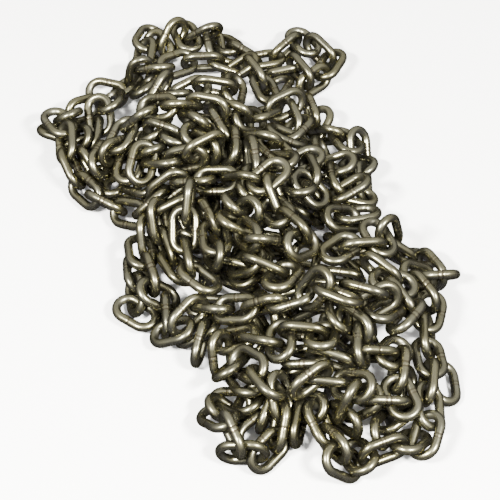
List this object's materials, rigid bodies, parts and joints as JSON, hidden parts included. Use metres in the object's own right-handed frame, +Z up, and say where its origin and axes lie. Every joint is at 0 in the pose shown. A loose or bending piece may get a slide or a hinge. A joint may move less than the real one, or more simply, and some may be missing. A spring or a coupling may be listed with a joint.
{
  "type": "heap of steel chain",
  "caption": "Loose heap of welded steel chain lying on a level floor, its links threaded through each other in winding lengths.",
  "frame": {"origin": "middle of the heap's box, on the floor it lies on", "axes": "+Z up from the floor, +Y along the heap's length, away from the picture's viewer, +X to the viewer's right"},
  "size_m": [0.4743, 0.6569, 0.1202],
  "materials": {
    "chain_steel": "smooth drawn wire, warm olive grey, worn bright on its crowns"
  },
  "bodies": {
    "root": {"chain_run_01": "chain_steel", "chain_run_02": "chain_steel", "chain_run_03": "chain_steel", "chain_run_04": "chain_steel", "chain_run_05": "chain_steel", "chain_run_06": "chain_steel", "chain_run_07": "chain_steel", "chain_run_08": "chain_steel", "chain_run_09": "chain_steel", "chain_run_10": "chain_steel", "chain_run_11": "chain_steel", "chain_run_12": "chain_steel", "chain_run_13": "chain_steel", "chain_run_14": "chain_steel", "chain_run_15": "chain_steel", "chain_run_16": "chain_steel", "chain_run_17": "chain_steel", "chain_run_18": "chain_steel", "chain_run_19": "chain_steel", "chain_run_20": "chain_steel", "chain_run_21": "chain_steel", "chain_run_22": "chain_steel", "chain_run_23": "chain_steel", "chain_run_24": "chain_steel", "chain_run_25": "chain_steel", "chain_run_26": "chain_steel", "chain_run_27": "chain_steel", "chain_run_28": "chain_steel", "chain_run_29": "chain_steel", "chain_run_30": "chain_steel", "chain_run_31": "chain_steel", "chain_run_32": "chain_steel", "chain_run_33": "chain_steel", "chain_run_34": "chain_steel", "chain_run_35": "chain_steel", "chain_run_36": "chain_steel", "chain_run_37": "chain_steel", "chain_run_38": "chain_steel", "chain_run_39": "chain_steel", "chain_run_40": "chain_steel", "chain_run_41": "chain_steel", "chain_run_42": "chain_steel", "chain_run_43": "chain_steel", "chain_run_44": "chain_steel", "chain_run_45": "chain_steel", "chain_run_46": "chain_steel", "chain_run_47": "chain_steel", "chain_run_48": "chain_steel", "chain_run_49": "chain_steel", "chain_run_50": "chain_steel", "chain_run_51": "chain_steel", "chain_run_52": "chain_steel", "chain_run_53": "chain_steel", "chain_run_54": "chain_steel", "chain_run_55": "chain_steel", "core": "chain_steel"}
  },
  "joints": []
}
